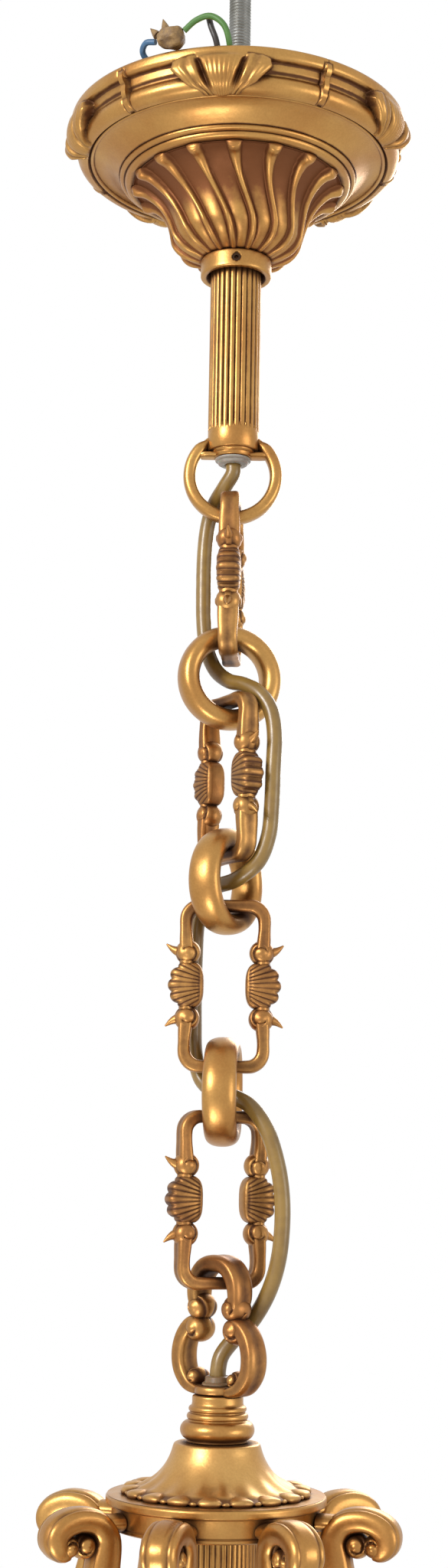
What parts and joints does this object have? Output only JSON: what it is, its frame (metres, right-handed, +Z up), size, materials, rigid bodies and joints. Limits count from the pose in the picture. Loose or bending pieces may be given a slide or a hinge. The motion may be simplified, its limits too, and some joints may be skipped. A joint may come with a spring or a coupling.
{
  "type": "cage chandelier",
  "caption": "Gilt cage chandelier with candle lights, hung by a chain of cast shell links and round rings from a stem with a sliding canopy.",
  "frame": {"origin": "centre of the hanging rod's flat top end", "axes": "+Z up along the rod; -Y is the side seen in front; +X to the right seen from the front"},
  "size_m": [0.4404, 0.4404, 1.0843],
  "materials": {
    "gilt": "satin gilt bronze, browned in the recesses",
    "gilt_patina": "browner gilt bronze with a worn patina",
    "steel": "dull zinc-plated steel",
    "nylon": "translucent nylon",
    "flex_pvc": "olive-gold round flex",
    "wire_green_yellow": "green and yellow core",
    "wire_black": "black core",
    "wire_blue": "blue core",
    "resin": "tan moulded resin",
    "ivory": "ivory candle sleeve",
    "holder_plastic": "pale lamp holder",
    "lamp_glass": "clear candle lamp"
  },
  "bodies": {
    "suspension": {"hanging_rod": "steel", "stem_bush": "steel", "stem_tube": "gilt", "stem_loop": "gilt", "stem_bushing": "nylon", "flex": "flex_pvc", "wire_earth": "wire_green_yellow", "wire_live": "wire_black", "wire_neutral": "wire_blue", "wire_connector": "resin"},
    "canopy": {"canopy_rim": "gilt", "canopy_bell": "gilt_patina", "canopy_collar": "gilt", "collar_screw": "steel"},
    "link_a": {"link_1": "gilt_patina"},
    "ring_a": {"ring_1": "gilt"},
    "link_b": {"link_2": "gilt_patina"},
    "ring_b": {"ring_2": "gilt"},
    "link_c": {"link_3": "gilt_patina"},
    "ring_c": {"ring_3": "gilt"},
    "link_d": {"link_4": "gilt_patina"},
    "cage": {"cage_bow": "gilt_patina", "bow_bushing": "nylon", "base_turning": "gilt", "bell_cap": "gilt", "crown_disc": "gilt", "centre_column": "gilt", "bottom_hub": "gilt", "bottom_finial": "gilt", "tie_rod": "steel", "rib_1": "gilt", "rib_2": "gilt", "rib_3": "gilt", "rib_4": "gilt", "rib_5": "gilt", "rib_6": "gilt", "rib_7": "gilt", "rib_8": "gilt", "drip_pan_1": "gilt", "candle_1": "ivory", "holder_1": "holder_plastic", "lamp_1": "lamp_glass", "drip_pan_2": "gilt", "candle_2": "ivory", "holder_2": "holder_plastic", "lamp_2": "lamp_glass", "drip_pan_3": "gilt", "candle_3": "ivory", "holder_3": "holder_plastic", "lamp_3": "lamp_glass", "drip_pan_4": "gilt", "candle_4": "ivory", "holder_4": "holder_plastic", "lamp_4": "lamp_glass"}
  },
  "joints": [
    {"name": "canopy_slide", "type": "slide", "parent": "suspension", "child": "canopy", "axis": [0, 0, 1], "range_m": [-0.073, 0]},
    {"name": "link_a_swing", "type": "hinge", "parent": "suspension", "child": "link_a", "pos_m": [0, 0, -0.264], "axis": [1, 0, 0], "range_deg": [-15, 15], "deforming": ["flex"]},
    {"name": "ring_a_swing", "type": "hinge", "parent": "link_a", "child": "ring_a", "pos_m": [0, 0, -0.3267], "axis": [0.0698, 0.9976, 0], "range_deg": [-15, 15]},
    {"name": "link_b_swing", "type": "hinge", "parent": "ring_a", "child": "link_b", "pos_m": [0, 0, -0.3578], "axis": [0.9659, 0.2588, 0], "range_deg": [-15, 15]},
    {"name": "ring_b_swing", "type": "hinge", "parent": "link_b", "child": "ring_b", "pos_m": [0, 0, -0.4122], "axis": [0.5, -0.866, 0], "range_deg": [-15, 15]},
    {"name": "link_c_swing", "type": "hinge", "parent": "ring_b", "child": "link_c", "pos_m": [0, 0, -0.4428], "axis": [0.5, 0.866, 0], "range_deg": [-15, 15]},
    {"name": "ring_c_swing", "type": "hinge", "parent": "link_c", "child": "ring_c", "pos_m": [0, 0, -0.5027], "axis": [1, 0, 0], "range_deg": [-15, 15]},
    {"name": "link_d_swing", "type": "hinge", "parent": "ring_c", "child": "link_d", "pos_m": [0, 0, -0.5338], "axis": [0.0872, 0.9962, 0], "range_deg": [-15, 15]},
    {"name": "cage_swing", "type": "hinge", "parent": "link_d", "child": "cage", "pos_m": [0, 0, -0.5907], "axis": [0.9397, 0.342, 0], "range_deg": [-15, 15]}
  ]
}
